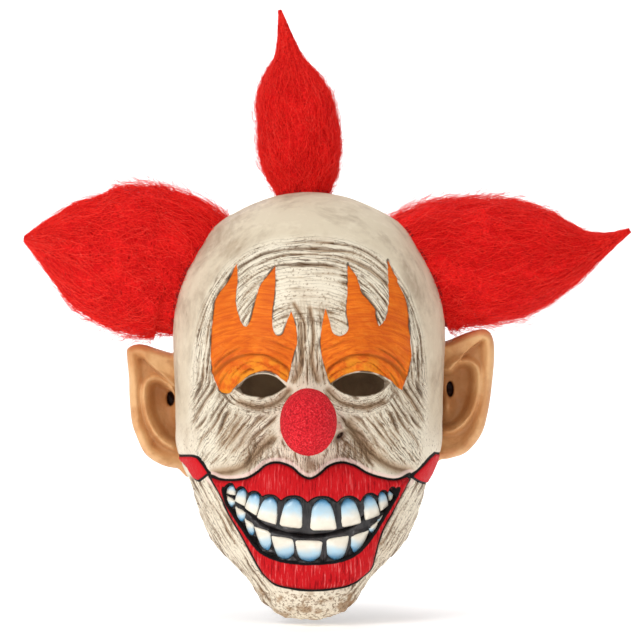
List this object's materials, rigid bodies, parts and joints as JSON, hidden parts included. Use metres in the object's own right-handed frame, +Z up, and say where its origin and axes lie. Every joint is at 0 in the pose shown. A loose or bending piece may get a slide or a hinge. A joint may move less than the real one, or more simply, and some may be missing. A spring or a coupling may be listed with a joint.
{
  "type": "latex halloween mask",
  "caption": "Latex clown mask with a flexing toothy jaw, bonded ears, a red foam nose and tufts of red synthetic hair.",
  "frame": {"origin": "middle of the wearer's head, level with the ear canals", "axes": "the face looks towards -Y, +X is on the right of someone facing it, +Z is up out of the crown"},
  "size_m": [0.391, 0.2541, 0.3838],
  "materials": {
    "cream_latex": "matte, brown wash in the wrinkles",
    "tan_latex": "satin, darker shading in the folds",
    "tooth_latex": "glossy paint, blue towards the gums",
    "red_foam": "open-cell foam",
    "red_fibre": "frizzy synthetic fibre",
    "gauze": "woven cotton"
  },
  "bodies": {
    "skull": {"face_shell": "cream_latex", "left_ear": "tan_latex", "right_ear": "tan_latex", "foam_nose": "red_foam", "upper_teeth": "tooth_latex", "top_hair_tuft": "red_fibre", "left_hair_tuft": "red_fibre", "right_hair_tuft": "red_fibre", "top_hair_weft": "gauze", "left_hair_weft": "gauze", "right_hair_weft": "gauze", "slit_reinforcement": "gauze"},
    "jaw": {"jaw_shell": "cream_latex", "lower_teeth": "tooth_latex"}
  },
  "joints": [
    {"name": "jaw_flex", "type": "hinge", "parent": "skull", "child": "jaw", "pos_m": [0, 0.01, -0.05], "axis": [1, 0, 0], "range_deg": [0, 7], "stiffness_Nm_per_rad": 0.5, "springref_deg": -14.9}
  ]
}
